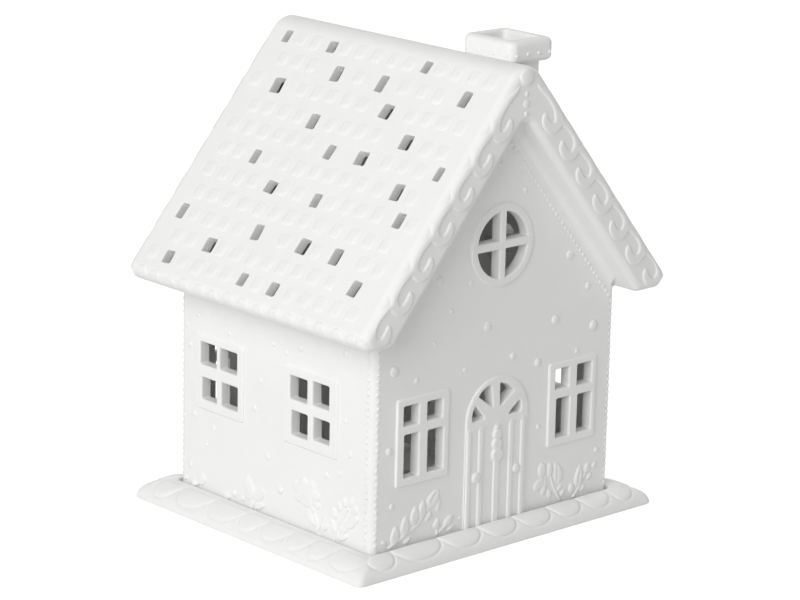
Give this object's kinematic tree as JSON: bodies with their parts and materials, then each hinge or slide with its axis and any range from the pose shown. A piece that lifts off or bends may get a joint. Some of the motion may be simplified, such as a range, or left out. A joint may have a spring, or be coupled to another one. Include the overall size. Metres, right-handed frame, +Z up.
{
  "type": "tealight house",
  "caption": "Small gabled house of unglazed porcelain with cut-out windows and roof holes, a chimney flue, and a separate scalloped plate that carries a tealight.",
  "frame": {"origin": "centre of the base plate's underside, on the surface that the object stands on", "axes": "+Z up, +X to the right when facing the front wall with the door, +Y from the front wall to the back wall"},
  "size_m": [0.163, 0.1427, 0.1989],
  "materials": {
    "bisque_porcelain": "matte, unglazed, fine grain",
    "plate_porcelain": "matte, unglazed, fine grain",
    "cup_metal": "bright drawn foil",
    "candle_wax": "satin paraffin wax",
    "wick_cotton": "waxed cotton",
    "clip_tin": "tinned steel"
  },
  "bodies": {
    "plate": {"base_plate": "plate_porcelain"},
    "house": {"wall_shell": "bisque_porcelain", "roof_shell": "bisque_porcelain", "chimney": "bisque_porcelain"},
    "tealight": {"tealight_cup": "cup_metal", "tealight_wax": "candle_wax", "tealight_wick": "wick_cotton", "wick_clip": "clip_tin"}
  },
  "joints": [
    {"name": "house_lift", "type": "slide", "parent": "plate", "child": "house", "axis": [0, 0, 1], "range_m": [0, 0.08]},
    {"name": "tealight_lift", "type": "slide", "parent": "plate", "child": "tealight", "axis": [0, 0, 1], "range_m": [0, 0.04]}
  ]
}
